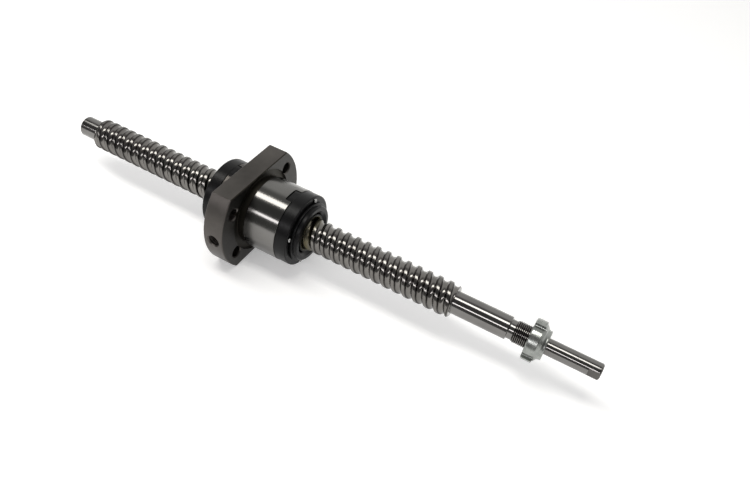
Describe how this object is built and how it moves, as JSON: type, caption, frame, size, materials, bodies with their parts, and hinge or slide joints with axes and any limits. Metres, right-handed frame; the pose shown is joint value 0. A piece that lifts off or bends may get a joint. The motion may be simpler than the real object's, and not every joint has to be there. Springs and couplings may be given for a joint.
{
  "type": "ball screw assembly",
  "caption": "Ground ball screw, 15 mm across with two starts and 10 mm lead, with a flanged end-cap ball nut and a slotted locknut.",
  "frame": {"origin": "on the screw's axis at the shoulder where the thread ends and the driven end's bearing journal begins", "axes": "+X along the screw towards the driven end, +Z square to the flats of the nut's flange, -Y towards the flange's lubrication port"},
  "size_m": [0.2692, 0.057, 0.04],
  "materials": {
    "ground_steel": "hardened and ground, bright lands, darker grooves",
    "nut_steel": "flange with a fine matt dark-grey finish, body ground bright",
    "black_plastic": "moulded, satin",
    "seal_plastic": "moulded, stained by grease",
    "cap_screw_steel": "bright",
    "ball_steel": "polished",
    "zinc_plate": "zinc plated, satin, slightly green",
    "nylon": "natural"
  },
  "bodies": {
    "screw": {"screw_shaft": "ground_steel"},
    "seal_rings": {"left_seal_ring": "seal_plastic", "right_seal_ring": "seal_plastic"},
    "ball_nut": {"nut_body": "nut_steel", "left_end_cap": "black_plastic", "right_end_cap": "black_plastic", "left_retaining_ring": "black_plastic", "right_retaining_ring": "black_plastic", "left_cap_screw_1": "cap_screw_steel", "left_cap_screw_2": "cap_screw_steel", "left_cap_screw_3": "cap_screw_steel", "left_cap_screw_4": "cap_screw_steel", "right_cap_screw_1": "cap_screw_steel", "right_cap_screw_2": "cap_screw_steel", "right_cap_screw_3": "cap_screw_steel", "right_cap_screw_4": "cap_screw_steel", "loaded_balls_1": "ball_steel", "loaded_balls_2": "ball_steel", "return_balls_1": "ball_steel", "return_balls_2": "ball_steel"},
    "nylon_ring": {"locknut_nylon_ring": "nylon"},
    "lock_nut": {"locknut": "zinc_plate"}
  },
  "joints": [
    {"name": "nut_travel", "type": "slide", "parent": "screw", "child": "seal_rings", "axis": [1, 0, 0], "range_m": [-0.07, 0.06]},
    {"name": "nut_turn", "type": "hinge", "parent": "seal_rings", "child": "ball_nut", "pos_m": [-0.096, 0, 0], "axis": [1, 0, 0], "range_deg": [-2520, 2160]},
    {"name": "locknut_travel", "type": "slide", "parent": "screw", "child": "nylon_ring", "axis": [1, 0, 0], "range_m": [-0.00525, 0.0015]},
    {"name": "locknut_turn", "type": "hinge", "parent": "nylon_ring", "child": "lock_nut", "pos_m": [0.0355, 0, 0], "axis": [1, 0, 0], "range_deg": [-2520, 720]}
  ],
  "couplings": [
    {"joint": "nut_travel", "follows": "nut_turn", "m_per_rad": 0.0015915},
    {"joint": "locknut_travel", "follows": "locknut_turn", "m_per_rad": 0.00011937}
  ]
}
